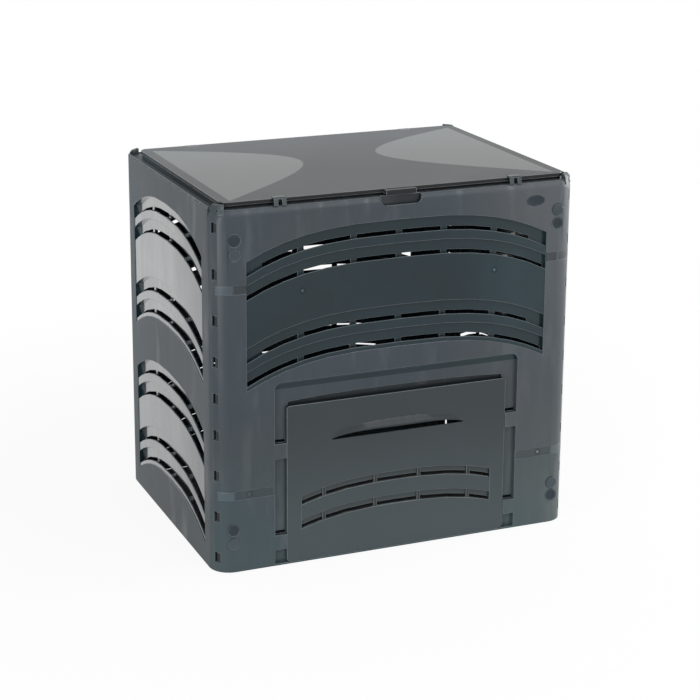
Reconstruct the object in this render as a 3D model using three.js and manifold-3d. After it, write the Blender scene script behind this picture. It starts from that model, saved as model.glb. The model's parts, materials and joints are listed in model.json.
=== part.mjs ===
import * as THREE from 'three';
import { mergeVertices } from 'three/addons/utils/BufferGeometryUtils.js';
import Module from 'manifold-3d';

const wasm = await Module();
wasm.setup();

// A snap-together garden compost bin: four louvred walls, a hinged lid and a hatch that lifts.
// Millimetres, +Z up, origin on the ground under the middle of the bin's box, front towards -Y.
// Each wall is drawn lying along x with its outer face at y = 0, then turned into its place.

// Walls
const binWidth = 1040;
const binDepth = 780;
const wallHeight = 987;
const endWallStep = 4;
const wallThickness = 4;
const cornerRadius = 55;
const seamAngle = 15;
const seamGap = 0.4;
const backLedgeReach = 72;

// Top edge of the walls, and the shelf inside it that carries the lid
const lipInset = 12;
const lipDrop = 25;
const lipWidth = 2;
const sideLipInset = 2;
const sideLipDrop = 3;
const sideLipWidth = 4;
const sideGrooveDepth = 1.2;
const sideGrooveHeight = 1.8;
const sideGrooveBelowTop = 2;
const shelfBelowLip = 7;
const shelfReach = 48;
const shelfThickness = 4;

// Louvre bays: recessed strips over slots, with flush strips between them
const bayEndMargin = 90;
const bayTopMargin = 69;
const bayBottomMargin = 128;
const betweenBays = 132;
const upperBayShare = 0.524;
const bayRise = 75;
const sideBayRise = 72;
const archPower = 3;
const sideArchPower = 2.5;
const bandDepth = 2;
const recessDepth = 13;
const recessHeight = 38.5;
const slotGap = 7.5;
const backSlotGap = 15;
const backBayDrop = 7;
const slotBehindBand = 8;
const louvrePitch = 64;
const sillHeight = 10.5;
const ribWidth = 18;
const slotEndMargin = 4;
const frontRibShares = [-0.644, -0.301, 0, 0.301, 0.644];
const sideRibShares = [-0.5, 0, 0.5];
const shortRowShare = 0.89;

// Snap windows down each corner column, and the tongues of the side walls that fill them
const windowWidth = 18;
const windowHeight = 28;
const windowAngle = 36.5;
const windowHeightShares = [0.0405, 0.157, 0.2725, 0.386, 0.487, 0.588, 0.7, 0.8245, 0.948];
const flangeThickness = 3;
const flangeAngle = 58;
const flangeJoin = 14;
const flangeFit = 0.5;
const tongueFit = 0.8;
const tongueSlit = 7;
const tongueSink = 2.5;

// Finger scoop in the front wall under the lid's lip
const scoopHalfWidth = 57;
const scoopDepth = 11;
const scoopHeight = 29;
const scoopCornerRadius = 14;

// Moulded marks on the front and back walls
const markRadius = 17;
const markDepth = 2;
const upperMarkInset = 58;
const lowerMarkInset = 50;
const markPitch = 38;
const markFromTop = 122;
const markFromGround = 80;
const badgeHalfWidth = 27;
const badgeHalfHeight = 15;
const badgeInset = 126;
const badgeFromTop = 54;
const strapHeight = 23;
const strapDepth = 1.8;
const strapStart = 55;
const upperStrapBelowTop = 214;
const lowerStrapHeight = 214;
const padFromAngle = 38;
const padToAngle = 87;
const padProud = 1.2;

// Hatch recess in the front wall, its opening and the keepers that hold the hatch
const hatchRecessHalfWidth = 354;
const hatchHeadMargin = 63;
const hatchRecessRadius = 20;
const hatchLiftRoom = 67;
const hatchSideGap = 34;
const hatchSillHeight = 5;
const openingOverlap = 20;
const openingSill = 25;
const headPocketRise = 17;
const headPocketBow = 9;
const headPocketSideGap = 8;
const headPocketDepth = 20;
const keeperHatchGap = 0.6;
const keeperHeight = 42;
const keeperBelowHatchTop = 101;
const keeperAboveGround = 44;
const keeperThickness = 4.5;
const keeperSlitHeight = 8;

// Hatch
const hatchFaceDepth = 1.5;
const hatchThickness = 3.5;
const hatchSkirt = 3;
const hatchSkirtGap = 0.6;
const hatchCornerRadius = 9;
const hatchLift = 0.3;
const lugHeight = 10;
const lugThickness = 4.5;
const lugBehindKeeper = 1.5;
const lugAboveKeeperFoot = 3;
const lugEndGap = 6;
const ventHalfWidth = 278;
const ventRise = 34;
const ventPower = 2.6;
const ventHeight = 24;
const ventSlotHeight = 8;
const ventDepth = 7;
const ventChannelDepth = 2.5;
const ventFieldDepth = 1.2;
const ventFloor = 3;
const ventRib = 10;
const upperVentBelowTop = 224;
const ventPitch = 68;
const ventRibShares = [-0.765, -0.23, 0.23, 0.765];
const gripHalfWidth = 195;
const gripBelowTop = 73;
const gripHeight = 18.5;
const gripReach = 11;
const gripWall = 3;
const gripThroat = 18.5;
const gripBow = 15.5;
const gripBowPower = 4;
const gripTopEase = 5;
const gripWaveCount = 5;
const gripWavePitch = 30;
const gripWaveRise = 2.5;

// Lid
const lidRise = 13;
const lidFrontInset = 18;
const lidSideInset = 29;
const lidBackInset = 57;
const lidCornerRadius = 25;
const lidThickness = 3.5;
const lidSkirt = 3;
const lidRimHeight = 10.5;
const lidSkirtSetback = 10;
const lidGrooveDepth = 1.6;
const lidGrooveHeight = 2.5;
const lidGrooveBelowTop = 4.5;
const lidSeatGap = 0.3;
const lidRibHeight = 12;
const lidRibThickness = 2.5;
const lidRibDrop = 0.5;
const lipHandleHalfWidth = 43;
const lipHandleHeight = 13;
const lipHandleThickness = 3;
const lipHandleBelowTop = 2;
const lipHandleSetback = 0.5;

// Clips on the lid, and the bars on the back wall that the hinge clips turn on
const clipInset = 185;
const clipWidth = 34;
const clipThickness = 3;
const clipGap = 0.4;
const clipGrip = 8;
const clipOverhang = 7;
const clipNotchWidth = 11;
const clipNotchHeight = 17;
const clipReachDown = 8;
const hingeInset = 28;
const hingeHeight = 7;
const hingeGrip = 20;
const hingeRecessDepth = 3.8;
const hingeRecessGap = 0.6;
const barRadius = 3;
const barFit = 0.4;
const barrelWall = 2.2;
const barrelMouthAngle = 70;
const cheekThickness = 5;
const cheekGap = 0.6;
const cheekHalfDepth = 8;
const cheekTop = 5;

// Corner clips on the top of the columns
const capHalfAngle = 21;
const capWall = 1.6;
const capGap = 0.4;
const capRise = 13;
const capShoulderRise = 5;
const capShoulderInset = 3.5;
const capDomeInset = 8;
const capDomeDrop = 1.5;
const capSkirt = 14;
const capInnerReach = 17;
const capGroove = 5;

const overrun = 2;
const weldDistance = 1e-4;
const lipSegments = 4;
const archSegments = 12;
const archStepPower = 1.5;
const slotSegments = 2;
const waveSegments = 6;
const cornerSegments = 6;
const roundSegments = 12;

// Places worked out from the sizes above
const lidTopZ = wallHeight + lidRise;
const endTop = wallHeight - endWallStep;
const shelfTop = wallHeight - shelfBelowLip;
const shelfUnder = shelfTop - shelfThickness;
const backingDepth = recessDepth + wallThickness;
const bayClear = wallHeight - bayTopMargin - betweenBays - bayBottomMargin;
const lowerBayShare = 1 - upperBayShare;
const upperBay = { crown: wallHeight - bayTopMargin, height: bayClear * upperBayShare };
const backBay = { crown: upperBay.crown - backBayDrop, height: upperBay.height };
const lowerBay = { crown: bayBottomMargin + bayClear * lowerBayShare, height: bayClear * lowerBayShare };
const backLowerBay = { crown: lowerBay.crown - backBayDrop, height: lowerBay.height };
const hatchRecessTop = upperBay.crown - upperBay.height - hatchHeadMargin;
const hatchTop = hatchRecessTop - hatchLiftRoom;
const hatchHalfWidth = hatchRecessHalfWidth - hatchSideGap;
const hatchBottom = hatchSillHeight + hatchLift;
const keeperFeet = [keeperAboveGround, hatchTop - keeperBelowHatchTop - keeperHeight];
const upperStrapZ = wallHeight - upperStrapBelowTop;
const clipX = binWidth / 2 - clipInset;
const hingeY = binDepth / 2 - hingeInset;
const hingeZ = shelfTop + hingeHeight;
const hoodProud = gripReach - hatchFaceDepth;
const degree = Math.PI / 180;

// Solids and shapes

function solid(geometry) {
  const bare = geometry.clone();
  bare.deleteAttribute('normal');
  bare.deleteAttribute('uv');
  const merged = mergeVertices(bare, weldDistance);
  const mesh = new wasm.Mesh({
    numProp: 3,
    vertProperties: new Float32Array(merged.attributes.position.array),
    triVerts: new Uint32Array(merged.index.array),
  });
  return new wasm.Manifold(mesh);
}

function geometryOf(body) {
  const mesh = body.getMesh();
  const geometry = new THREE.BufferGeometry();
  geometry.setAttribute('position', new THREE.BufferAttribute(new Float32Array(mesh.vertProperties), 3));
  geometry.setIndex(new THREE.BufferAttribute(new Uint32Array(mesh.triVerts), 1));
  geometry.computeVertexNormals();
  return geometry;
}

function joined(bodies) {
  return bodies.reduce((whole, body) => whole.add(body));
}

function without(body, cuts) {
  return cuts.reduce((rest, cut) => rest.subtract(cut), body);
}

// A shape drawn across (x) and up (z) on a wall, solid from one depth behind the face to another
function slab(shape, nearDepth, farDepth) {
  const geometry = new THREE.ExtrudeGeometry(shape, {
    depth: farDepth - nearDepth,
    bevelEnabled: false,
    curveSegments: cornerSegments,
  });
  geometry.rotateX(Math.PI / 2);
  geometry.translate(0, farDepth, 0);
  return solid(geometry);
}

// A shape drawn in plan (x, y), solid from one height to another
function column(shape, bottom, top, curveSegments = cornerSegments) {
  const geometry = new THREE.ExtrudeGeometry(shape, {
    depth: top - bottom,
    bevelEnabled: false,
    curveSegments,
  });
  geometry.translate(0, 0, bottom);
  return solid(geometry);
}

// A section drawn in depth (y) and height (z), solid over a width centred on x
function bar(points, centre, width) {
  const shape = new THREE.Shape(points.map(([y, z]) => new THREE.Vector2(y, z)));
  const geometry = new THREE.ExtrudeGeometry(shape, { depth: width, bevelEnabled: false });
  geometry.rotateX(Math.PI / 2);
  geometry.rotateZ(Math.PI / 2);
  geometry.translate(centre - width / 2, 0, 0);
  return solid(geometry);
}

function block(x0, x1, y0, y1, z0, z1) {
  const geometry = new THREE.BoxGeometry(x1 - x0, y1 - y0, z1 - z0);
  geometry.translate((x0 + x1) / 2, (y0 + y1) / 2, (z0 + z1) / 2);
  return solid(geometry);
}

function roundedRect(x0, x1, z0, z1, radius, roundFoot = true) {
  const shape = new THREE.Shape();
  const foot = roundFoot ? radius : 0;
  shape.moveTo(x0 + foot, z0);
  shape.lineTo(x1 - foot, z0);
  if (roundFoot) shape.absarc(x1 - radius, z0 + radius, radius, -Math.PI / 2, 0, false);
  shape.lineTo(x1, z1 - radius);
  shape.absarc(x1 - radius, z1 - radius, radius, 0, Math.PI / 2, false);
  shape.lineTo(x0 + radius, z1);
  shape.absarc(x0 + radius, z1 - radius, radius, Math.PI / 2, Math.PI, false);
  shape.lineTo(x0, z0 + foot);
  if (roundFoot) shape.absarc(x0 + radius, z0 + radius, radius, Math.PI, Math.PI * 1.5, false);
  return shape;
}

function archDrop(across, arch) {
  return arch.rise * Math.pow(Math.abs(across) / arch.half, arch.power);
}

// Steps along an arch, closer together towards its ends, where it bends more
function archSteps(from, to, segments) {
  const spread = (across) => Math.sign(across) * Math.pow(Math.abs(across), archStepPower);
  const start = spread(from);
  const span = spread(to) - start;
  const steps = [];
  for (let i = 0; i <= segments; i += 1) {
    const value = start + (span * i) / segments;
    steps.push(Math.sign(value) * Math.pow(Math.abs(value), 1 / archStepPower));
  }
  return steps;
}

// The strip between two arched edges, from one place across the wall to another
function archStrip(from, to, topCrown, bottomCrown, arch, segments) {
  const steps = archSteps(from, to, segments);
  const lower = steps.map((across) => new THREE.Vector2(across, bottomCrown - archDrop(across, arch)));
  const upper = steps.map((across) => new THREE.Vector2(across, topCrown - archDrop(across, arch)));
  return new THREE.Shape([...lower, ...upper.reverse()]);
}

// A solid through a row of rings of points; the outline is the first ring drawn flat
function loft(rings, outline) {
  const count = outline.length;
  const flat = outline.map(([u, v]) => new THREE.Vector2(u, v));
  const turning = Math.sign(THREE.ShapeUtils.area(flat));
  const index = [];
  for (let ring = 0; ring < rings.length - 1; ring += 1) {
    for (let i = 0; i < count; i += 1) {
      const a = ring * count + i;
      const b = ring * count + ((i + 1) % count);
      index.push(a, a + count, b, b, a + count, b + count);
    }
  }
  const last = (rings.length - 1) * count;
  THREE.ShapeUtils.triangulateShape(flat, []).forEach(([a, b, c]) => {
    const own = Math.sign(THREE.ShapeUtils.area([flat[a], flat[b], flat[c]]));
    const [p, q] = own === turning ? [b, c] : [c, b];
    index.push(a, p, q);
    index.push(last + a, last + q, last + p);
  });
  const points = rings.flat();
  let volume = 0;
  for (let i = 0; i < index.length; i += 3) {
    const [a, b, c] = [0, 1, 2].map((k) => new THREE.Vector3(...points[index[i + k]]));
    volume += a.dot(b.cross(c));
  }
  if (volume < 0) index.reverse();
  const geometry = new THREE.BufferGeometry();
  geometry.setAttribute('position', new THREE.Float32BufferAttribute(points.flat(), 3));
  geometry.setIndex(index);
  return solid(geometry);
}

// Wall shell: a section in depth and height carried along a path in plan

function wallSection(top, inset, drop, width) {
  const points = [[0, 0]];
  for (let i = 0; i <= lipSegments; i += 1) {
    const angle = (Math.PI / 2) * (i / lipSegments);
    points.push([inset * (1 - Math.cos(angle)), top - drop + drop * Math.sin(angle)]);
  }
  points.push([inset + width, top]);
  points.push([inset + width, shelfTop]);
  points.push([shelfReach, shelfTop]);
  points.push([shelfReach, shelfUnder]);
  points.push([wallThickness, shelfUnder]);
  points.push([wallThickness, 0]);
  return points;
}

function sweptWall(section, path) {
  return loft(
    path.map(({ x, y, inX, inY }) => section.map(([depth, z]) => [x + inX * depth, y + inY * depth, z])),
    section,
  );
}

// Angles round a column, from 0 at the side face to 90 at the end wall's face
function columnAngles(from, to) {
  const step = 90 / cornerSegments;
  const angles = [from];
  for (let angle = step; angle < to; angle += step) {
    if (angle > from) angles.push(angle);
  }
  angles.push(to);
  return angles.map((angle) => angle * degree);
}

// The front and back walls wrap round both corners, up to their seams with the side walls
function wrappedPath(halfWidth) {
  const path = [];
  for (let side = -1; side <= 1; side += 2) {
    const angles = columnAngles(seamAngle, 90);
    if (side > 0) angles.reverse();
    angles.forEach((angle) => {
      path.push({
        x: side * (halfWidth - cornerRadius + cornerRadius * Math.cos(angle)),
        y: cornerRadius - cornerRadius * Math.sin(angle),
        inX: -side * Math.cos(angle),
        inY: Math.sin(angle),
      });
    });
  }
  return path;
}

// Louvres

function recessTops(bay) {
  const pairDrop = bay.height - louvrePitch - recessHeight - sillHeight;
  const tops = [bay.crown, bay.crown - louvrePitch, bay.crown - pairDrop];
  tops.push(bay.crown - pairDrop - louvrePitch);
  return tops;
}

function slotSpans(ribShares, arch, long) {
  const reach = long ? arch.half - slotEndMargin : arch.half * shortRowShare;
  const edges = [-reach];
  ribShares.forEach((share) => {
    const centre = share * arch.half;
    edges.push(centre - ribWidth / 2, centre + ribWidth / 2);
  });
  edges.push(reach);
  const spans = [];
  for (let i = 0; i < edges.length; i += 2) spans.push([edges[i], edges[i + 1]]);
  return spans;
}

function louvred(wall, bay, arch, ribShares, gap = slotGap) {
  const bayBottom = bay.crown - bay.height;
  const outer = arch.half + wallThickness;
  const additions = [
    slab(
      archStrip(-outer, outer, bay.crown + wallThickness, bayBottom - wallThickness, arch, archSegments),
      0,
      bandDepth + wallThickness,
    ),
  ];
  const cuts = [
    slab(archStrip(-arch.half, arch.half, bay.crown, bayBottom, arch, archSegments), -overrun, bandDepth),
  ];
  recessTops(bay).forEach((top, row) => {
    const bandTop = top - recessHeight;
    additions.push(
      slab(
        archStrip(-outer, outer, top + wallThickness, bandTop - wallThickness, arch, archSegments),
        0,
        backingDepth,
      ),
    );
    cuts.push(
      slab(archStrip(-arch.half, arch.half, top, bandTop, arch, archSegments), -overrun, recessDepth),
    );
    slotSpans(ribShares, arch, row % 2 === 1).forEach(([from, to]) => {
      cuts.push(
        slab(
          archStrip(from, to, bandTop + gap, bandTop - slotBehindBand, arch, slotSegments),
          bandDepth + wallThickness,
          backingDepth + overrun,
        ),
      );
    });
  });
  return without(joined([wall, ...additions]), cuts);
}

// Snap windows and tongues at a corner column; side is -1 or 1 across the wall, and shift is
// how far the block lies towards the next wall

function radialBlock(centreX, centreY, side, angle, inner, outer, width, bottom, top, shift = 0) {
  const geometry = new THREE.BoxGeometry(outer - inner, width, top - bottom);
  geometry.translate((inner + outer) / 2, side * shift, (bottom + top) / 2);
  geometry.rotateZ(angle);
  if (side < 0) geometry.rotateZ(Math.PI - 2 * angle);
  geometry.translate(centreX, centreY, 0);
  return solid(geometry);
}

function windowZ(share) {
  return wallHeight * share;
}

function snapWindows(halfWidth) {
  const cuts = [];
  [-1, 1].forEach((side) => {
    windowHeightShares.forEach((share) => {
      const z = windowZ(share);
      cuts.push(
        radialBlock(
          side * (halfWidth - cornerRadius),
          cornerRadius,
          side,
          -windowAngle * degree,
          cornerRadius - wallThickness - overrun,
          cornerRadius + overrun,
          windowWidth,
          z - windowHeight / 2,
          z + windowHeight / 2,
        ),
      );
    });
  });
  return cuts;
}

// Marks, badge and strap grooves

function disc(x, z, radiusX, radiusZ, depth) {
  const shape = new THREE.Shape();
  for (let i = 0; i < roundSegments; i += 1) {
    const angle = (2 * Math.PI * i) / roundSegments;
    const point = [x + radiusX * Math.cos(angle), z + radiusZ * Math.sin(angle)];
    if (i === 0) shape.moveTo(...point);
    else shape.lineTo(...point);
  }
  return slab(shape, -overrun, depth);
}

// A sector round a column's face where a strap line crosses it, proud on the left and sunk on the right
function strapPad(side, z, innerRadius, outerRadius) {
  const angles = columnAngles(padFromAngle, padToAngle);
  const centreX = side * (binWidth / 2 - cornerRadius);
  const at = (radius) => (angle) =>
    new THREE.Vector2(centreX + side * radius * Math.cos(angle), cornerRadius - radius * Math.sin(angle));
  const shape = new THREE.Shape([...angles.map(at(innerRadius)), ...angles.reverse().map(at(outerRadius))]);
  return column(shape, z - strapHeight / 2, z + strapHeight / 2);
}

function frontMarks(halfWidth) {
  const cuts = [];
  [-1, 1].forEach((side) => {
    [
      [halfWidth - upperMarkInset, wallHeight - markFromTop],
      [halfWidth - lowerMarkInset, markFromGround],
    ].forEach(([x, z]) => {
      cuts.push(disc(side * x, z, markRadius, markRadius, markDepth));
      cuts.push(disc(side * x, z + markPitch, markRadius, markRadius, markDepth));
    });
    const edge = side * (halfWidth - strapStart);
    const bayEdge = side * (halfWidth - bayEndMargin);
    const recessEdge = side * hatchRecessHalfWidth;
    [[edge, bayEdge, upperStrapZ], [edge, recessEdge, lowerStrapHeight]].forEach(([from, to, z]) => {
      cuts.push(
        block(
          Math.min(from, to),
          Math.max(from, to),
          -overrun,
          strapDepth,
          z - strapHeight / 2,
          z + strapHeight / 2,
        ),
      );
    });
  });
  cuts.push(
    disc(halfWidth - badgeInset, wallHeight - badgeFromTop, badgeHalfWidth, badgeHalfHeight, markDepth),
  );
  return cuts;
}

// Front wall

function frontWall() {
  const half = binWidth / 2;
  const arch = { half: half - bayEndMargin, rise: bayRise, power: archPower };
  let wall = sweptWall(wallSection(endTop, lipInset, lipDrop, lipWidth), wrappedPath(half));
  wall = louvred(wall, upperBay, arch, frontRibShares);

  const backing = slab(
    roundedRect(
      -hatchRecessHalfWidth - wallThickness,
      hatchRecessHalfWidth + wallThickness,
      0,
      hatchRecessTop + wallThickness,
      hatchRecessRadius + wallThickness,
      false,
    ),
    0,
    backingDepth,
  );
  const recess = slab(
    roundedRect(
      -hatchRecessHalfWidth,
      hatchRecessHalfWidth,
      hatchSillHeight,
      hatchRecessTop,
      hatchRecessRadius,
      false,
    ),
    -overrun,
    recessDepth,
  );
  const pocketHalf = hatchHalfWidth - headPocketSideGap;
  const pocketTop = hatchTop + headPocketRise;
  const pocketArch = { half: pocketHalf, rise: headPocketBow, power: archPower };
  const headShape = archStrip(
    -pocketHalf,
    pocketHalf,
    pocketTop,
    hatchTop - headPocketBow,
    pocketArch,
    archSegments,
  );
  const headPocket = slab(headShape, recessDepth - overrun, headPocketDepth);
  const headBacking = block(
    -pocketHalf - wallThickness,
    pocketHalf + wallThickness,
    recessDepth,
    headPocketDepth + wallThickness,
    hatchTop - openingOverlap,
    pocketTop + wallThickness,
  );
  const openingHalf = hatchHalfWidth - openingOverlap;
  const opening = block(
    -openingHalf,
    openingHalf,
    recessDepth - overrun,
    backingDepth + overrun,
    openingSill,
    hatchTop - openingOverlap,
  );
  const scoopBacking = slab(
    roundedRect(
      -scoopHalfWidth - wallThickness,
      scoopHalfWidth + wallThickness,
      wallHeight - scoopHeight - wallThickness,
      wallHeight + scoopCornerRadius,
      scoopCornerRadius + wallThickness,
    ),
    wallThickness / 2,
    scoopDepth + wallThickness,
  ).intersect(block(-half, half, 0, shelfReach, 0, shelfTop));
  const scoop = slab(
    roundedRect(
      -scoopHalfWidth,
      scoopHalfWidth,
      wallHeight - scoopHeight,
      wallHeight + scoopCornerRadius + overrun,
      scoopCornerRadius,
    ),
    -overrun,
    scoopDepth,
  );

  const slits = [];
  const keepers = [];
  [-1, 1].forEach((side) => {
    keeperFeet.forEach((foot) => {
      const outer = side * (hatchRecessHalfWidth + wallThickness / 2);
      const inner = side * (hatchHalfWidth + keeperHatchGap);
      const x0 = Math.min(inner, outer);
      const x1 = Math.max(inner, outer);
      keepers.push(block(x0, x1, 0, keeperThickness, foot, foot + keeperHeight));
      const slitOuter = side * (hatchRecessHalfWidth - seamGap);
      slits.push(
        block(
          Math.min(inner, slitOuter),
          Math.max(inner, slitOuter),
          recessDepth - overrun,
          backingDepth + overrun,
          foot + keeperHeight,
          foot + keeperHeight + keeperSlitHeight,
        ),
      );
    });
  });

  wall = joined([wall, backing, scoopBacking, headBacking]);
  wall = without(wall, [recess, headPocket, opening, scoop, ...slits]);
  const straps = [upperStrapZ, lowerStrapHeight];
  const pads = straps.map((z) => strapPad(-1, z, cornerRadius - wallThickness / 2, cornerRadius + padProud));
  const sunkPads = straps.map((z) => strapPad(1, z, cornerRadius - padProud, cornerRadius + overrun));
  wall = joined([wall, ...keepers, ...pads]);
  return without(wall, [...snapWindows(half), ...frontMarks(half), ...sunkPads]);
}

// Back wall, with a deeper shelf under the lid's rear edge and two bars for the hinge clips

function backWall() {
  const half = binWidth / 2;
  const arch = { half: half - bayEndMargin, rise: bayRise, power: archPower };
  let wall = sweptWall(wallSection(endTop, lipInset, lipDrop, lipWidth), wrappedPath(half));
  wall = louvred(wall, backBay, arch, frontRibShares, backSlotGap);
  wall = louvred(wall, backLowerBay, arch, frontRibShares);
  const ledgeHalf = half - shelfReach - seamGap;
  const ledge = block(
    -ledgeHalf,
    ledgeHalf,
    shelfReach - wallThickness,
    backLedgeReach,
    shelfUnder,
    shelfTop,
  );
  const extras = [ledge];
  [-1, 1].forEach((side) => {
    const centre = side * clipX;
    const inner = clipWidth / 2 + cheekGap;
    [-1, 1].forEach((end) => {
      const near = centre + end * inner;
      const far = centre + end * (inner + cheekThickness);
      extras.push(
        block(
          Math.min(near, far),
          Math.max(near, far),
          hingeInset - cheekHalfDepth,
          hingeInset + cheekHalfDepth,
          shelfUnder,
          hingeZ + cheekTop,
        ),
      );
    });
    const rod = new THREE.CylinderGeometry(barRadius, barRadius, 2 * inner + cheekThickness, roundSegments);
    rod.rotateZ(Math.PI / 2);
    rod.translate(centre, hingeInset, hingeZ);
    extras.push(solid(rod));
  });
  return without(joined([wall, ...extras]), snapWindows(half));
}

// Side walls, with a flange at each end that reaches behind the corner column

function sideWall() {
  const half = binDepth / 2;
  const centre = half - cornerRadius;
  const seam = seamAngle * degree;
  const atSeam = (radius, back) => [
    centre + radius * Math.sin(seam) - back * Math.cos(seam),
    cornerRadius - radius * Math.cos(seam) - back * Math.sin(seam),
  ];
  const [end, endDepth] = atSeam(cornerRadius, seamGap);
  const arch = { half: half - bayEndMargin, rise: sideBayRise, power: sideArchPower };
  let wall = sweptWall(wallSection(wallHeight, sideLipInset, sideLipDrop, sideLipWidth), [
    { x: -end, y: endDepth, inX: Math.sin(seam), inY: Math.cos(seam) },
    { x: -centre, y: 0, inX: 0, inY: 1 },
    { x: centre, y: 0, inX: 0, inY: 1 },
    { x: end, y: endDepth, inX: -Math.sin(seam), inY: Math.cos(seam) },
  ]);
  const grooveTop = wallHeight - sideGrooveBelowTop;
  const grooveFoot = grooveTop - sideGrooveHeight;
  wall = wall.subtract(block(-half, half, -overrun, sideGrooveDepth, grooveFoot, grooveTop));
  wall = louvred(wall, upperBay, arch, sideRibShares);
  wall = louvred(wall, lowerBay, arch, sideRibShares);

  const outer = cornerRadius - wallThickness - flangeFit;
  const inner = outer - flangeThickness;
  const turn = flangeAngle * degree;
  const top = shelfUnder - flangeFit;
  const tongueWidth = windowWidth - tongueFit - tongueSlit;
  const tongueTurn = windowAngle * degree - Math.PI / 2;
  const extras = [];
  const slits = [];
  [-1, 1].forEach((side) => {
    const shape = new THREE.Shape();
    const root = centre - flangeJoin;
    shape.moveTo(root, wallThickness / 2);
    shape.lineTo(centre, wallThickness / 2);
    shape.lineTo(...atSeam(cornerRadius - wallThickness / 2, 2 * seamGap));
    shape.lineTo(...atSeam(outer, 2 * seamGap));
    shape.absarc(centre, cornerRadius, outer, seam - Math.PI / 2, turn - Math.PI / 2, false);
    shape.absarc(centre, cornerRadius, inner, turn - Math.PI / 2, -Math.PI / 2, true);
    shape.lineTo(root, cornerRadius - inner);
    let flange = column(shape, 0, top, cornerSegments / 2);
    if (side < 0) flange = mirrored(flange);
    extras.push(flange);
    windowHeightShares.forEach((share) => {
      const z = windowZ(share);
      const foot = z - windowHeight / 2;
      const head = z + windowHeight / 2;
      extras.push(
        radialBlock(
          side * centre,
          cornerRadius,
          side,
          tongueTurn,
          inner + flangeThickness / 2,
          cornerRadius - tongueSink,
          tongueWidth,
          foot + tongueFit,
          head - tongueFit,
          (tongueSlit - tongueFit) / 2,
        ),
      );
      slits.push(
        radialBlock(
          side * centre,
          cornerRadius,
          side,
          tongueTurn,
          inner - overrun,
          outer + overrun,
          tongueSlit,
          foot + tongueFit,
          head - tongueFit,
          (tongueSlit - windowWidth) / 2,
        ),
      );
    });
  });
  return without(joined([wall, ...extras]), slits);
}

function mirrored(body) {
  const geometry = geometryOf(body);
  geometry.scale(-1, 1, 1);
  const order = geometry.index.array;
  for (let i = 0; i < order.length; i += 3) {
    const kept = order[i];
    order[i] = order[i + 1];
    order[i + 1] = kept;
  }
  return solid(geometry);
}

// Hatch: a skirted panel with two arched vents, a hood to lift it by and four lugs

function hatch() {
  const face = hatchFaceDepth;
  const back = recessDepth - hatchSkirtGap;
  const half = hatchHalfWidth;
  const whole = slab(roundedRect(-half, half, hatchBottom, hatchTop, hatchCornerRadius), face, back);
  const hollow = slab(
    roundedRect(
      -half + hatchSkirt,
      half - hatchSkirt,
      hatchBottom + hatchSkirt,
      hatchTop - hatchSkirt,
      hatchCornerRadius - hatchSkirt,
    ),
    face + hatchThickness,
    back + overrun,
  );
  let panel = whole.subtract(hollow);

  const arch = { half: ventHalfWidth, rise: ventRise, power: ventPower };
  const floorBack = face + ventDepth + ventFloor;
  const ribEdges = [-ventHalfWidth];
  ventRibShares.forEach((share) => {
    ribEdges.push(share * ventHalfWidth - ventRib / 2, share * ventHalfWidth + ventRib / 2);
  });
  ribEdges.push(ventHalfWidth);
  const additions = [];
  const cuts = [];
  const ventTops = [hatchTop - upperVentBelowTop, hatchTop - upperVentBelowTop - ventPitch];
  const channel = (top, bottom, depth) =>
    slab(archStrip(-ventHalfWidth, ventHalfWidth, top, bottom, arch, archSegments), -overrun, face + depth);
  cuts.push(channel(ventTops[0], ventTops[1] - ventHeight, ventFieldDepth));
  ventTops.forEach((top) => {
    const bottom = top - ventHeight;
    cuts.push(channel(top, bottom, ventChannelDepth));
    additions.push(
      slab(
        archStrip(
          -ventHalfWidth - ventFloor,
          ventHalfWidth + ventFloor,
          top + ventFloor,
          bottom - ventFloor,
          arch,
          archSegments,
        ),
        face,
        floorBack,
      ),
    );
    for (let i = 0; i < ribEdges.length; i += 2) {
      const from = ribEdges[i];
      const to = ribEdges[i + 1];
      cuts.push(slab(archStrip(from, to, top, bottom, arch, slotSegments), -overrun, face + ventDepth));
      cuts.push(
        slab(
          archStrip(from, to, bottom + ventSlotHeight, bottom, arch, slotSegments),
          face,
          floorBack + overrun,
        ),
      );
    }
  });

  const gripTop = hatchTop - gripBelowTop;
  const gripFoot = gripTop - gripHeight - gripThroat;
  additions.push(hood(gripHalfWidth, gripTop, gripReach, face + hatchThickness / 2));
  cuts.push(
    hood(
      gripHalfWidth - gripWall,
      gripTop - gripWall,
      gripReach - gripWall,
      face + hatchThickness + overrun,
      gripFoot,
    ),
  );

  const lugFront = keeperThickness + lugBehindKeeper;
  [-1, 1].forEach((side) => {
    keeperFeet.forEach((foot) => {
      const inner = side * (half - hatchSkirt / 2);
      const outer = side * (hatchRecessHalfWidth - lugEndGap);
      additions.push(
        block(
          Math.min(inner, outer),
          Math.max(inner, outer),
          lugFront,
          lugFront + lugThickness,
          foot + lugAboveKeeperFoot,
          foot + lugAboveKeeperFoot + lugHeight,
        ),
      );
    });
  });
  panel = without(joined([panel, ...additions]), cuts);
  return panel;
}

// Places across the hood, closer together where its top edge is waved for the fingers
function hoodSteps(half) {
  const waveHalf = (gripWaveCount * gripWavePitch) / 2;
  const steps = [];
  for (let i = 0; i < archSegments / 2; i += 1) {
    steps.push(-half + ((half - waveHalf) * 2 * i) / archSegments);
  }
  const count = gripWaveCount * waveSegments;
  const waved = Array.from({ length: count + 1 }, (_, i) => -waveHalf + (2 * waveHalf * i) / count);
  return [...steps, ...waved, ...steps.map((across) => -across).reverse()];
}

function waveAt(across) {
  const turns = across / gripWavePitch + gripWaveCount / 2;
  return turns > 0 && turns < gripWaveCount ? gripWaveRise * Math.abs(Math.sin(Math.PI * turns)) : 0;
}

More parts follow.
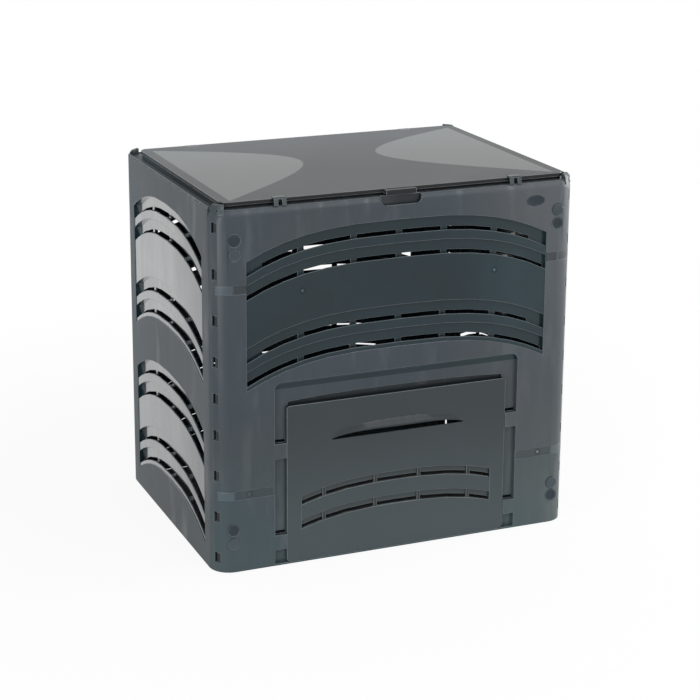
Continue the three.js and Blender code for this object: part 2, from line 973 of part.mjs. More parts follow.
// The hood over the finger grip: it swells out from the face towards the middle of its lower edge,
// and reaches down to a level foot where one is given
function hood(half, top, reach, rootDepth, levelFoot = null) {
  const sections = [];
  hoodSteps(half).forEach((across) => {
    const swell = 1 - Math.pow(Math.abs(across) / (half + gripWall), 2);
    const nose = hatchFaceDepth - reach * swell;
    const lower = top - gripHeight - gripBow * Math.pow(Math.abs(across) / half, gripBowPower);
    const wave = levelFoot === null ? waveAt(across) : 0;
    const upper = top - gripTopEase * (1 - swell) + wave;
    const foot = levelFoot === null ? lower : levelFoot;
    sections.push({
      across,
      outline: [
        [rootDepth, foot],
        [nose, foot],
        [nose, lower + gripTopEase],
        [hatchFaceDepth, upper],
        [rootDepth, upper],
      ],
    });
  });
  return loft(
    sections.map(({ across, outline }) => outline.map(([depth, z]) => [across, depth, z])),
    sections[0].outline,
  );
}

// Lid: a flat plate with a rim, a skirt to sit on, ribs below and a lip to lift it by

function ringWall(left, right, front, rear, foot, top) {
  const whole = column(roundedRect(left, right, front, rear, lidCornerRadius), foot, top);
  const hollow = column(
    roundedRect(
      left + lidSkirt,
      right - lidSkirt,
      front + lidSkirt,
      rear - lidSkirt,
      lidCornerRadius - lidSkirt,
    ),
    foot - overrun,
    top + overrun,
  );
  return whole.subtract(hollow);
}

function lid() {
  const left = -binWidth / 2 + lidSideInset;
  const right = binWidth / 2 - lidSideInset;
  const front = -binDepth / 2 + lidFrontInset;
  const rear = binDepth / 2 - lidBackInset;
  const seatFront = front + lidSkirtSetback;
  const seatRear = rear - lidSkirtSetback;
  const underside = lidTopZ - lidThickness;
  const joinZ = underside + lidThickness / 2;
  const parts = [
    column(roundedRect(left, right, front, rear, lidCornerRadius), underside, lidTopZ),
    ringWall(left, right, front, rear, lidTopZ - lidRimHeight, joinZ),
    ringWall(left, right, seatFront, seatRear, shelfTop + lidSeatGap, joinZ),
  ];
  const ribFoot = underside - lidRibHeight;
  const acrossCount = 4;
  for (let i = 1; i < acrossCount; i += 1) {
    const x = left + ((right - left) * i) / acrossCount;
    parts.push(
      block(
        x - lidRibThickness / 2,
        x + lidRibThickness / 2,
        seatFront + lidSkirt / 2,
        seatRear - lidSkirt / 2,
        ribFoot,
        joinZ,
      ),
    );
  }
  const alongCount = 3;
  for (let i = 1; i < alongCount; i += 1) {
    const y = front + ((rear - front) * i) / alongCount;
    parts.push(
      block(
        left + lidSkirt / 2,
        right - lidSkirt / 2,
        y - lidRibThickness / 2,
        y + lidRibThickness / 2,
        ribFoot + lidRibDrop,
        joinZ,
      ),
    );
  }
  const handleTop = lidTopZ - lipHandleBelowTop;
  const handleFront = -binDepth / 2 + lipHandleSetback;
  const outer = block(
    -lipHandleHalfWidth,
    lipHandleHalfWidth,
    handleFront,
    front + lidSkirt / 2,
    handleTop - lipHandleHeight,
    handleTop,
  );
  const inner = block(
    -lipHandleHalfWidth - overrun,
    lipHandleHalfWidth + overrun,
    handleFront + lipHandleThickness,
    front,
    handleTop - lipHandleHeight - overrun,
    handleTop - lipHandleThickness,
  );
  parts.push(outer.subtract(inner));

  const grooveTop = lidTopZ - lidGrooveBelowTop;
  const grooveFoot = grooveTop - lidGrooveHeight;
  const grooveFront = seatFront + lidCornerRadius;
  const grooveRear = seatRear - lidCornerRadius;
  const cuts = [
    block(left - overrun, left + lidGrooveDepth, grooveFront, grooveRear, grooveFoot, grooveTop),
    block(right - lidGrooveDepth, right + overrun, grooveFront, grooveRear, grooveFoot, grooveTop),
  ];
  const recessFoot = lidTopZ - hingeRecessDepth;
  const recessHalf = clipWidth / 2 + hingeRecessGap;
  const recessFront = rear - hingeGrip - hingeRecessGap;
  [-clipX, clipX].forEach((x) => {
    parts.push(
      block(
        x - recessHalf - lidSkirt,
        x + recessHalf + lidSkirt,
        recessFront - lidSkirt,
        rear,
        recessFoot - lidThickness,
        joinZ,
      ),
    );
    cuts.push(
      block(x - recessHalf, x + recessHalf, recessFront, rear + overrun, recessFoot, lidTopZ + overrun),
    );
  });
  return without(joined(parts), cuts);
}

// Front clips reach over the wall's lip; sections are in depth behind the front face and height

function frontClip() {
  const lidEdge = lidFrontInset;
  const nose = lidEdge - clipOverhang;
  const seat = lidTopZ + clipGap;
  const top = seat + clipThickness;
  const angle = Math.acos(1 - clipReachDown / lipInset);
  const foot = endTop - lipDrop + lipDrop * Math.sin(angle);
  const inner = lipInset * (1 - Math.cos(angle)) - clipGap - clipThickness / 2;
  const section = [
    [lidEdge + clipGrip, seat],
    [lidEdge + clipGrip, top],
    [nose, top],
    [nose - clipThickness, seat],
    [inner - clipThickness, endTop],
    [inner - clipThickness, foot],
    [inner, foot],
    [nose, lidTopZ - clipThickness],
    [nose + clipThickness / 2, seat],
  ];
  const body = bar(section, 0, clipWidth);
  const notch = slab(
    roundedRect(
      -clipNotchWidth / 2,
      clipNotchWidth / 2,
      foot - overrun,
      foot + clipNotchHeight,
      clipNotchWidth / 2 - clipGap,
      false,
    ),
    -lidEdge,
    lidEdge,
  );
  return body.subtract(notch);
}

// Hinge clips grip the bars on the back wall; depth is measured from the bar towards the front

function hingeClip() {
  const bore = barRadius + barFit;
  const outer = bore + barrelWall;
  const mouth = barrelMouthAngle * degree;
  const points = [];
  const start = -Math.PI / 2 - mouth / 2;
  const sweep = 2 * Math.PI - mouth;
  for (let i = 0; i <= roundSegments; i += 1) {
    const angle = start - (sweep * i) / roundSegments;
    points.push([outer * Math.cos(angle), outer * Math.sin(angle)]);
  }
  for (let i = roundSegments; i >= 0; i -= 1) {
    const angle = start - (sweep * i) / roundSegments;
    points.push([bore * Math.cos(angle), bore * Math.sin(angle)]);
  }
  const barrel = bar(points, 0, clipWidth);
  const seat = lidTopZ - hingeRecessDepth + clipGap - hingeZ;
  const lidEdge = hingeInset - lidBackInset;
  const arm = bar(
    [
      [-bore, bore / 2],
      [0, bore + barrelWall / 2],
      [lidEdge + clipGap + clipThickness, seat + clipThickness],
      [lidEdge - hingeGrip, seat + clipThickness],
      [lidEdge - hingeGrip, seat],
      [lidEdge + clipGap, seat],
    ],
    0,
    clipWidth,
  );
  const gap = new THREE.CylinderGeometry(bore, bore, clipWidth + overrun, roundSegments);
  gap.rotateZ(Math.PI / 2);
  return without(joined([barrel, arm]), [solid(gap)]);
}

// Corner clips: a thin cap that follows the lip at the middle of each corner, with two legs outside

function cornerClip() {
  const lipAt = (angle, gap) => [
    cornerRadius - lipInset * (1 - Math.cos(angle)) + gap * Math.cos(angle),
    endTop - lipDrop + (lipDrop + gap) * Math.sin(angle),
  ];
  const turn = capHalfAngle * degree;
  const legAngle = Math.asin((lipDrop - capSkirt) / lipDrop);
  const lipStep = Math.PI / 2 / lipSegments;
  const middle = 2 * lipStep;
  const inner = cornerRadius - capInnerReach;
  const innerLeg = cornerRadius - lipInset - lipWidth - capGap;
  const top = endTop + capRise;
  const section = [
    lipAt(legAngle, capGap + capWall),
    lipAt(middle, capGap + capWall),
    [cornerRadius - capShoulderInset, endTop + capShoulderRise],
    [cornerRadius - capDomeInset, top - capDomeDrop],
    [cornerRadius - lipInset, top],
    [inner, top - capDomeDrop],
    [inner, shelfTop + capGap],
    [innerLeg, shelfTop + capGap],
    [innerLeg, endTop + capGap],
    [cornerRadius - lipInset, endTop + capGap],
    lipAt(middle + lipStep, capGap),
    lipAt(middle, capGap),
    lipAt(legAngle, capGap),
  ];
  const step = Math.PI / 2 / cornerSegments;
  const rings = [-turn, -step, 0, step, turn].map((angle) =>
    section.map(([radius, z]) => [radius * Math.cos(angle), radius * Math.sin(angle), z]),
  );
  const [legRadius, legFoot] = section[0];
  const groove = block(
    cornerRadius - lipInset + lipWidth,
    legRadius + overrun,
    -capGroove / 2,
    capGroove / 2,
    legFoot - overrun,
    endTop - capGap,
  );
  return loft(rings, section).subtract(groove);
}

// Assembly

const slate = { color: 0x4a5157, roughness: 0.5, metalness: 0 };
const hatchGrey = { color: 0x474d51, roughness: 0.38, metalness: 0 };
const clipGrey = { color: 0x4b5555, roughness: 0.42, metalness: 0 };

// The hatch's hood stands proud in front, so the walls sit half of that behind the box's middle
const bin = new THREE.Group();
bin.position.y = hoodProud / 2;

function place(name, body, finish, x, y, turn = 0, z = 0) {
  const mesh = new THREE.Mesh(geometryOf(body), new THREE.MeshStandardMaterial(finish));
  mesh.name = name;
  mesh.position.set(x, y, z);
  mesh.rotation.z = turn;
  bin.add(mesh);
}

place('front_wall', frontWall(), slate, 0, -binDepth / 2);
place('back_wall', backWall(), slate, 0, binDepth / 2, Math.PI);
place('left_wall', sideWall(), slate, -binWidth / 2, 0, -Math.PI / 2);
place('right_wall', sideWall(), slate, binWidth / 2, 0, Math.PI / 2);
place('lid', lid(), slate, 0, 0);
place('hatch', hatch(), hatchGrey, 0, -binDepth / 2);

['left', 'right'].forEach((name, i) => {
  const side = i === 0 ? -1 : 1;
  place(`front_clip_${name}`, frontClip(), clipGrey, side * clipX, -binDepth / 2);
  place(`hinge_clip_${name}`, hingeClip(), clipGrey, side * clipX, hingeY, 0, hingeZ);
});

[
  ['front_left', -1, -1],
  ['front_right', 1, -1],
  ['back_left', -1, 1],
  ['back_right', 1, 1],
].forEach(([name, sideX, sideY]) => {
  place(
    `corner_clip_${name}`,
    cornerClip(),
    clipGrey,
    sideX * (binWidth / 2 - cornerRadius),
    sideY * (binDepth / 2 - cornerRadius),
    Math.atan2(sideY, sideX),
  );
});

export default bin;
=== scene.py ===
import json
import math

import bmesh
import bpy
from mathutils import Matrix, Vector


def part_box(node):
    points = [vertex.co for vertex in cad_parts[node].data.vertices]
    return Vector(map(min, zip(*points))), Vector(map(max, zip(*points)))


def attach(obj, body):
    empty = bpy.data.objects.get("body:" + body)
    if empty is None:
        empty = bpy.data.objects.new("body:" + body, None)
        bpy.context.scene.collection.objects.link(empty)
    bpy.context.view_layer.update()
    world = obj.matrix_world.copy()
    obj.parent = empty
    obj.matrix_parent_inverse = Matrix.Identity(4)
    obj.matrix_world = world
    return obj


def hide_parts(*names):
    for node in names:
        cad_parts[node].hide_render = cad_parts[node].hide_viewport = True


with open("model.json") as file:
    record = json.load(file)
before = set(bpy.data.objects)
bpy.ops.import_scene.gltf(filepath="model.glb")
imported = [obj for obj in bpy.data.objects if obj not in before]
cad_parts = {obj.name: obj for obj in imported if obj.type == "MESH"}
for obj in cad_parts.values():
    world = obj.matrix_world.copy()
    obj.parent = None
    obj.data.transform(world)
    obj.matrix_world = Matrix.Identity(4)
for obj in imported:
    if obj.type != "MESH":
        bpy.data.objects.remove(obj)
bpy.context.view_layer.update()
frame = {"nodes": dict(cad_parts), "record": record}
print("frame loaded:", len(frame["nodes"]), "nodes")

mm = 0.001
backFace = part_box("back_wall")[1].y
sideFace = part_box("right_wall")[1].x
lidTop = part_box("lid")[1].z
middleY = sum(corner.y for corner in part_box("left_wall")) / 2
frontFace = 2 * middleY - backFace      # the strap pads stand a little proud of it
halfDepth = (backFace - frontFace) / 2


# Camera, as worked out from the bin's own edges in the photograph

cameraSettings = {
    "frame": 700,                       # the photograph's side in pixels
    "opticalCentre": (300, 250),        # pixel that the lens points at
    "focalPixels": 1916.5,
    "turn": 21.48,                      # degrees from the back towards the right
    "tilt": 14.85,                      # degrees down
    "place": (-2.0188, 4.4093, 2.1188), # x, distance in front of the bin's face, and height
    "film": 36,
    "reach": 60,
}


def addCamera(settings):
    across, ahead, height = settings["place"]
    turn = math.radians(settings["turn"])
    tilt = math.radians(90 - settings["tilt"])
    bpy.ops.object.camera_add(
        location=(across, frontFace - ahead, height),
        rotation=(tilt, 0, -turn),
    )
    camera = bpy.context.object
    side = settings["frame"]
    camera.data.sensor_width = settings["film"]
    camera.data.lens = settings["focalPixels"] / side * settings["film"]
    camera.data.shift_x = 0.5 - settings["opticalCentre"][0] / side
    camera.data.shift_y = settings["opticalCentre"][1] / side - 0.5
    camera.data.clip_end = settings["reach"]
    bpy.context.scene.camera = camera


addCamera(cameraSettings)


# Shader maths: a Value wraps a socket, so that an expression adds its Math nodes

class Value:
    def __init__(self, finish, socket):
        self.finish = finish
        self.socket = socket

    def combine(self, operation, first, second):
        return self.finish.node("ShaderNodeMath", {"operation": operation}, {0: first, 1: second})

    def __add__(self, other):
        return self.combine("ADD", self, other)

    def __radd__(self, other):
        return self.combine("ADD", other, self)

    def __sub__(self, other):
        return self.combine("SUBTRACT", self, other)

    def __rsub__(self, other):
        return self.combine("SUBTRACT", other, self)

    def __mul__(self, other):
        return self.combine("MULTIPLY", self, other)

    def __rmul__(self, other):
        return self.combine("MULTIPLY", other, self)

    def __truediv__(self, other):
        return self.combine("DIVIDE", self, other)

    def __abs__(self):
        return self.finish.node("ShaderNodeMath", {"operation": "ABSOLUTE"}, {0: self})


class Nodes:
    def __init__(self, tree):
        self.tree = tree

    def feed(self, socket, value):
        if isinstance(value, Value):
            self.tree.links.new(value.socket, socket)
        elif value is not None:
            socket.default_value = value

    def node(self, kind, settings=None, sockets=None, output=0):
        made = self.tree.nodes.new(kind)
        for key, value in (settings or {}).items():
            setattr(made, key, value)
        for key, value in (sockets or {}).items():
            self.feed(made.inputs[key], value)
        return Value(self, made.outputs[output])

    def place(self):
        return self.node("ShaderNodeTexCoord", output="Object")

    def axes(self, place):
        parts = self.tree.nodes.new("ShaderNodeSeparateXYZ")
        self.feed(parts.inputs[0], place)
        return [Value(self, parts.outputs[i]) for i in range(3)]

    def noise(self, place, size, detail=2.0, roughness=0.5, stretch=(1, 1, 1)):
        scale = tuple(share / size for share in stretch)
        scaled = self.node("ShaderNodeMapping", None, {"Vector": place, "Scale": scale})
        return self.node(
            "ShaderNodeTexNoise",
            {"noise_dimensions": "3D"},
            {"Vector": scaled, "Scale": 1.0, "Detail": detail, "Roughness": roughness},
        )

    def uneven(self, place, size, **settings):
        return self.noise(place, size, **settings) - 0.5     # noise around zero

    def ease(self, value, low, high):
        return self.node(
            "ShaderNodeMapRange",
            {"interpolation_type": "SMOOTHSTEP"},
            {"Value": value, "From Min": low, "From Max": high, "To Min": 0.0, "To Max": 1.0},
        )

    def within(self, value, low, high, soft):
        return self.ease(value, low - soft, low) * (1 - self.ease(value, high, high + soft))

    def distance(self, first, second):
        squares = first * first + second * second
        return self.node("ShaderNodeMath", {"operation": "SQRT"}, {0: squares})

    def multiply(self, first, second):
        return self.node("ShaderNodeVectorMath", {"operation": "MULTIPLY"}, {0: first, 1: second})

    def blend(self, first, second, share):
        sockets = {0: share, 6: first, 7: second}   # the colour pair of the Mix node
        return self.node("ShaderNodeMix", {"data_type": "RGBA"}, sockets, output=2)

    def bump(self, height, distance, normal=None):
        sockets = {"Height": height, "Distance": distance, "Normal": normal}
        return self.node("ShaderNodeBump", None, sockets)


class Finish(Nodes):
    def __init__(self, name):
        self.material = bpy.data.materials.new(name)
        self.material.use_nodes = True
        super().__init__(self.material.node_tree)
        self.shader = self.tree.nodes["Principled BSDF"]

    def dress(self, sockets):
        for name, value in sockets.items():
            self.feed(self.shader.inputs[name], value)
        return self.material


# Colours are linear red, green, blue

def colour(red, green, blue):
    return (red, green, blue, 1)


# Plastics: the bin is moulded in one dark grey-blue, satin on the faces and polished in the bays

satinShade = colour(0.033, 0.045, 0.055)
polishedShade = colour(0.008, 0.020, 0.026)
polishedRoughness = 0.14
plasticIndex = 1.4

bayInset = 87 * mm
bayHalf = {"x": sideFace - bayInset, "y": halfDepth - bayInset}
upperBay = (490 * mm, 922 * mm)         # foot and head, from the arches' ends to their crowns
lowerBay = (40 * mm, 455 * mm)


def plasticGrain(finish, place, settings):
    grain = finish.noise(place, settings["grain"])
    flow = finish.noise(place, settings["flow"], detail=1.0)
    normal = finish.bump(grain, settings["grainDepth"])
    return finish.bump(flow, settings["flowDepth"], normal)


def tinted(finish, shade, amount):
    start = shade if isinstance(shade, Value) else shade[:3]
    sockets = {0: start, "Scale": amount}
    return finish.node("ShaderNodeVectorMath", {"operation": "SCALE"}, sockets)


def toned(finish, shade, tone, share):
    return finish.multiply(shade, finish.blend(colour(1, 1, 1), colour(*tone), share))


wallFinishSettings = {
    "grain": 0.9 * mm,
    "grainDepth": 0.05 * mm,
    "flow": 190 * mm,                   # slow unevenness of the moulded face
    "flowDepth": 0.45 * mm,
    "bayEdge": 1 * mm,
    "bayDepth": (0.5 * mm, 1.5 * mm),   # the polish starts below the wall's face
    "cloud": {"size": 150 * mm, "detail": 3.0},
    "cloudTint": 0.16,
    "bayReflectionTint": 0.5,                     # painted reflection: the polished bays' colour is mottled more, as if they showed the light unevenly
    "cloudRoughness": 0.07,
    "warmth": {"size": 420 * mm, "detail": 1.0},
    "warmFrom": (0.4, 0.65),
    "warmShade": (1.10, 1.0, 0.97),     # patches where the grey turns warmer
    "streak": {"size": 24 * mm, "detail": 3.0, "roughness": 0.6, "stretch": (1, 1, 0.14)},
    "streakTint": 0.16,
    "streakRoughness": 0.06,
    "scuff": {"size": 9 * mm, "detail": 3.0},
    "scuffTint": 0.05,
    "groundHead": 450 * mm,             # the painted light and shade at the ground fade out at this height
    "frontFloorBounce": (1.22, 1.42, 1.32),  # painted bounce light from the floor: the front and back get paler, and greener
    "sideLowShade": (0.62, 0.72, 0.70),   # and painted shade makes the sides darker
    "sideBackSheen": 0.45,                   # painted sheen: the sides get paler towards the back
    "sideBackSpan": 350 * mm,
    "rightFrom": 100 * mm,
    "rightHeights": (300 * mm, 900 * mm),
    "rightFoot": 0.45,                  # how much of the tone is left at the foot
    "rightLightTint": (2.2, 1.85, 1.7),     # painted light: paler and warmer towards the bin's right
    "wear": {"size": 46 * mm, "detail": 4.0, "roughness": 0.6, "stretch": (1, 1, 0.2)},
    "wearFrom": (0.5, 0.75),
    "wearCoat": 0.22,                   # rubbed patches shine
    "seamAlong": halfDepth - 30 * mm,
    "windowShadow": 0.75,
    "coatIndex": 2.0,
    "coatRoughness": 0.06,
    "coatUneven": 0.5,
    "coatForward": 0.35,                # the side bays shine less towards the front
    "coatHeights": (350 * mm, 600 * mm),
    "coatLow": 0.25,                    # and less low down
}

frontMarks = {
    "sheen": (497 * mm, 514 * mm),      # the right column's outer round shines
    "sheenCoat": 0.5,
    "gates": [                          # moulding gates: across and height in mm, and tone
        ((-276, 753), 4),
        ((276, 753), 4),
        ((-425, 214), 0.6),
        ((425, 214), 3),
    ],
    "gatePin": (2.5 * mm, 4 * mm),
    "gateRing": (4 * mm, 9 * mm, 2 * mm),
    "ringShade": 0.35,
    "hollowLightAndShade": [                        # painted shade in the handle scoop and the pocket above the hatch, and painted light over the recess edge's shadow: half width, foot, head and depth in mm, and tone
        ((58, 950, 990, 3), 0.3),
        ((330, 440, 475, 15), 0.35),
        ((356, 502, 512, 8), 1.7),
    ],
    "bandEdge": 0.3 * mm,
    "padLightAndShade": [                          # painted light and shade on the strap pads and straps: side, span across and up in mm, and tone
        (-1, (468, 508, 761, 785), 1.5),
        (-1, (431, 468, 761, 785), 0.7),
        (-1, (468, 508, 202, 226), 1.5),
        (-1, (360, 468, 202, 226), 0.8),
        (1, (468, 508, 761, 785), 0.7),
        (1, (431, 462, 761, 785), 0.55),
        (1, (468, 508, 202, 226), 1.3),
        (1, (360, 462, 202, 226), 0.8),
    ],
}


def addMarks(finish, marks, x, z, shade):
    # painted light and shade on the strap pads and straps
    for side, span, tone in marks["padLightAndShade"]:
        start, end, foot, head = (length * mm for length in span)
        inside = finish.within(x * side, start, end, marks["bandEdge"])
        inside = inside * finish.within(z, foot, head, marks["bandEdge"])
        shade = tinted(finish, shade, 1 + inside * (tone - 1))
    for (across, height), tone in marks["gates"]:
        away = finish.distance(x - across * mm, z - height * mm)
        ring = finish.within(away, *marks["gateRing"])
        pin = 1 - finish.ease(away, *marks["gatePin"])
        shade = tinted(finish, shade, 1 + pin * tone - ring * marks["ringShade"])
    return shade


# Painted light and shade inside boxes, deeper than a given depth
def addHollowLightAndShade(finish, hollowLightAndShade, across, height, depth, shade):
    for lengths, tone in hollowLightAndShade:
        halfWidth, foot, head, start = (length * mm for length in lengths)
        inside = finish.within(abs(across), 0, halfWidth, mm)
        inside = inside * finish.within(height, foot, head, mm)
        deep = finish.ease(depth, start, start + mm)
        shade = tinted(finish, shade, 1 + inside * deep * (tone - 1))
    return shade


def wallFinish(name, settings, wall):
    finish = Finish(name)
    place = finish.place()
    x, y, z = finish.axes(place)
    isSide = wall["across"] == "y"
    along = y - middleY if isSide else x
    depth = ((x if isSide else y) - wall["face"]) * wall["inward"]
    half = bayHalf[wall["across"]]
    gloss = 0
    for foot, head in wall["bays"]:
        inside = 1 - finish.ease(abs(along), half, half + settings["bayEdge"])
        gloss = gloss + inside * finish.within(z, foot, head, settings["bayEdge"])
    gloss = gloss * finish.ease(depth, *settings["bayDepth"])
    cloud = finish.uneven(place, **settings["cloud"])
    scuff = finish.uneven(place, **settings["scuff"])
    streak = finish.uneven(place, **settings["streak"])

    # random mottle, made stronger in the bays as painted reflection
    mottleAndReflection = 1 + cloud * (settings["cloudTint"] + gloss * settings["bayReflectionTint"])
    mottleAndReflection = mottleAndReflection + scuff * settings["scuffTint"] + streak * settings["streakTint"]
    shade = tinted(finish, finish.blend(satinShade, polishedShade, gloss), mottleAndReflection)
    warm = finish.ease(finish.noise(place, **settings["warmth"]), *settings["warmFrom"])
    shade = toned(finish, shade, settings["warmShade"], warm)
    if isSide:
        behind = finish.ease(abs(along), settings["seamAlong"], settings["seamAlong"] + mm)
        shade = tinted(finish, shade, 1 - behind * settings["windowShadow"])   # painted shade on the flange seen in the snap windows
    if wall["marks"]:
        shade = addHollowLightAndShade(finish, wall["marks"]["hollowLightAndShade"], x, z, depth, shade)
        shade = addMarks(finish, wall["marks"], x, z, shade)
    # painted bounce light on the front and back, painted shade on the sides, near the ground
    down = 1 - finish.ease(z, 0, settings["groundHead"])
    shade = toned(finish, shade, settings["sideLowShade" if isSide else "frontFloorBounce"], down)
    if isSide:
        # painted sheen towards the back of the sides
        back = finish.ease(along, 0, settings["sideBackSpan"])
        shade = tinted(finish, shade, 1 + settings["sideBackSheen"] * back)
    # painted light, paler and warmer towards the right and higher up
    high = finish.ease(z, *settings["rightHeights"])
    high = settings["rightFoot"] + (1 - settings["rightFoot"]) * high
    right = finish.ease(x, settings["rightFrom"], sideFace) * high
    shade = toned(finish, shade, settings["rightLightTint"], right)

    satin = wall["roughness"]
    rough = satin + gloss * (polishedRoughness - satin) + cloud * settings["cloudRoughness"]
    worn = 1 + streak * settings["coatUneven"] + cloud * settings["coatUneven"]
    forward = finish.ease(0 - along, 0, half)
    low = 1 - finish.ease(z, *settings["coatHeights"])
    polish = gloss * wall["coat"] * worn
    polish = polish * (1 - forward * settings["coatForward"]) * (1 - low * settings["coatLow"])
    rubbed = finish.ease(finish.noise(place, **settings["wear"]), *settings["wearFrom"])
    rubbed = rubbed * (1 - gloss) * settings["wearCoat"]
    if wall["marks"]:
        sheen = finish.ease(x, *wall["marks"]["sheen"])
        rubbed = rubbed + sheen * wall["marks"]["sheenCoat"]
    return finish.dress({
        "Base Color": shade,
        "Roughness": rough + streak * settings["streakRoughness"],
        "Normal": plasticGrain(finish, place, settings),
        "Coat Weight": polish + rubbed,
        "Coat IOR": settings["coatIndex"],
        "Coat Roughness": settings["coatRoughness"],
        "IOR": plasticIndex,
    })


wallSettings = {
    "front_wall": {
        "across": "x",                  # the axis along the wall
        "inward": 1,                    # and which way its inside lies on the other one
        "face": frontFace,
        "bays": [upperBay],
        "roughness": 0.36,
        "coat": 0,
        "marks": frontMarks,
    },
    "back_wall": {
        "across": "x",
        "inward": -1,
        "face": backFace,
        "bays": [upperBay, lowerBay],
        "roughness": 0.36,
        "coat": 0,
        "marks": None,
    },
    "left_wall": {
        "across": "y",
        "inward": 1,
        "face": -sideFace,
        "bays": [upperBay, lowerBay],
        "roughness": 0.5,
        "coat": 1,
        "marks": None,
    },
    "right_wall": {
        "across": "y",
        "inward": -1,
        "face": sideFace,
        "bays": [upperBay, lowerBay],
        "roughness": 0.5,
        "coat": 1,
        "marks": None,
    },
}

materials = {}
for node, wall in wallSettings.items():
    name = node.split("_")[0] + "WallPlastic"
    materials[node] = wallFinish(name, wallFinishSettings, wall)


lidFinishSettings = {
    "edgeInset": 57 * mm,               # lens fields: distance from the bin's side face
    "frontInset": 30 * mm,
    "frontSlope": 40,                   # degrees of the field's front edge
    "backInset": 690 * mm,
    "backSlope": -25,
    "apexEase": 520 * mm,
    "edge": 2 * mm,
    "top": (1 * mm, 0.5 * mm),          # the fields are only on the lid's top
    "matt": colour(0.019, 0.025, 0.030),
    "mattRoughness": 0.38,
    "lens": colour(0.012, 0.027, 0.028),
    "lensRoughness": 0.17,
    "cloud": {"size": 130 * mm, "detail": 3.0},
    "cloudTint": 0.2,
    "cloudRoughness": 0.05,
    "tone": 0.6,
    "far": (250 * mm, 760 * mm),        # painted sheen: the lid gets paler over this stretch towards the back
    "farTint": 1.5,
    "skirt": (3 * mm, 1 * mm),
    "skirtSideLight": 1.1,
    "front": (32 * mm, 40 * mm),        # painted shade darkens the skirt at the front and painted light makes it paler at the sides
    "frontSkirtShade": 1.9,
    "grain": 0.8 * mm,
    "grainDepth": 0.05 * mm,
    "flow": 240 * mm,
    "flowDepth": 0.5 * mm,
}


def lensField(finish, settings, inward, deep, z):
    frontTurn = math.radians(settings["frontSlope"])
    backTurn = math.radians(settings["backSlope"])
    ahead = deep - settings["frontInset"]
    behind = settings["backInset"] - deep
    fromFront = ahead * math.cos(frontTurn) - inward * math.sin(frontTurn)
    fromBack = behind * math.cos(backTurn) + inward * math.sin(backTurn)
    nearest = finish.node(
        "ShaderNodeMath",
        {"operation": "SMOOTH_MIN"},
        {0: fromFront, 1: fromBack, 2: settings["apexEase"]},
    )
    field = finish.ease(nearest, 0.0, settings["edge"]) * finish.ease(inward, 0.0, settings["edge"])
    return field * finish.ease(z, *(lidTop - below for below in settings["top"]))


def lidFinish(name, settings):
    finish = Finish(name)
    place = finish.place()
    x, y, z = finish.axes(place)
    deep = y - frontFace
    inward = sideFace - abs(x) - settings["edgeInset"]
    lens = lensField(finish, settings, inward, deep, z)
    cloud = finish.uneven(place, **settings["cloud"])
    # painted sheen towards the back of the lid
    far = finish.ease(deep, *settings["far"])
    tone = settings["tone"] + cloud * settings["cloudTint"] + far * settings["farTint"]
    shade = tinted(finish, finish.blend(settings["matt"], settings["lens"], lens), tone)
    skirt = 1 - finish.ease(z, *(lidTop - below for below in settings["skirt"]))
    front = 1 - finish.ease(deep, *settings["front"])
    # painted shade on the front skirt, painted light on the side skirts
    tone = 1 - skirt * (front * settings["frontSkirtShade"] - settings["skirtSideLight"])
    rough = settings["mattRoughness"]
    rough = rough + lens * (settings["lensRoughness"] - settings["mattRoughness"])
    return finish.dress({
        "Base Color": tinted(finish, shade, tone),
        "Roughness": rough + cloud * settings["cloudRoughness"],
        "Normal": plasticGrain(finish, place, settings),
        "IOR": plasticIndex,
    })


# Finish of the hatch, the clips and the bosses

plainSettings = {
    "cloudDetail": 3.0,
    "cloudTint": 0.12,
    "cloudRoughness": 0.08,
    "tone": 0.95,
    "floorBounceHead": 430 * mm,             # painted bounce light from the floor makes them paler up to this height
}

hatchSettings = {
    "shade": colour(0.028, 0.037, 0.041),
    "roughness": 0.30,
    "floorBounce": 0.8,
    "grain": 0.9 * mm,
    "grainDepth": 0.03 * mm,
    "flow": 160 * mm,
    "flowDepth": 0.4 * mm,
    "face": frontFace,
    "hollowLightAndShade": [                        # painted shade at the hatch's top edge and in the vents' channels, and painted light on their floors
        ((330, 441, 460, 2.2), 0.15),
        ((282, 100, 235, 3.3), 0.25),
        ((282, 100, 235, 7.4), 3.2),
    ],
    "hoodDepth": (-1 * mm, 1.2 * mm),   # what lies ahead of this is the hood
    # painted shade on the hood, whose slope catches the light
    "hoodPaintedShade": 0.3,
    "hoodRoughness": 0.1,
    "vents": {                          # painted shade line along the top of both arched rows
        "half": 278 * mm,
        "rise": 34 * mm,
        "power": 2.6,
        "tops": [219.2 * mm, 151.2 * mm],
        "line": 1.7 * mm,
        "edge": 0.5 * mm,
        "ends": (1.0, 1.005),
        "shade": 0.65,
    },
}

clipSettings = {
    "shade": colour(0.034, 0.047, 0.052),
    "roughness": 0.3,
    "floorBounce": 0,
    "grain": 0.6 * mm,
    "grainDepth": 0.02 * mm,
    "flow": 14 * mm,
    "flowDepth": 0.05 * mm,
}

bossFinishSettings = {
    "shade": colour(0.036, 0.050, 0.058),
    "roughness": 0.36,
    "floorBounce": 0.35,
    "grain": 0.9 * mm,
    "grainDepth": 0.05 * mm,
    "flow": 30 * mm,
    "flowDepth": 0.1 * mm,
}

darkBossSettings = dict(
    bossFinishSettings,
    shade=colour(0.012, 0.021, 0.028),
    roughness=0.42,
    floorBounce=0.3,
)


def addVentShadeLines(finish, vents, across, height, shade):
    share = abs(across) / vents["half"]
    power = finish.node("ShaderNodeMath", {"operation": "POWER"}, {0: share, 1: vents["power"]})
    drop = power * vents["rise"]
    # a painted shade line under each row's top edge
    for top in vents["tops"]:
        seam = finish.within(height + drop - top, -vents["line"], vents["line"], vents["edge"])
        seam = seam * (1 - finish.ease(share, *vents["ends"]))
        shade = tinted(finish, shade, 1 - seam * vents["shade"])
    return shade


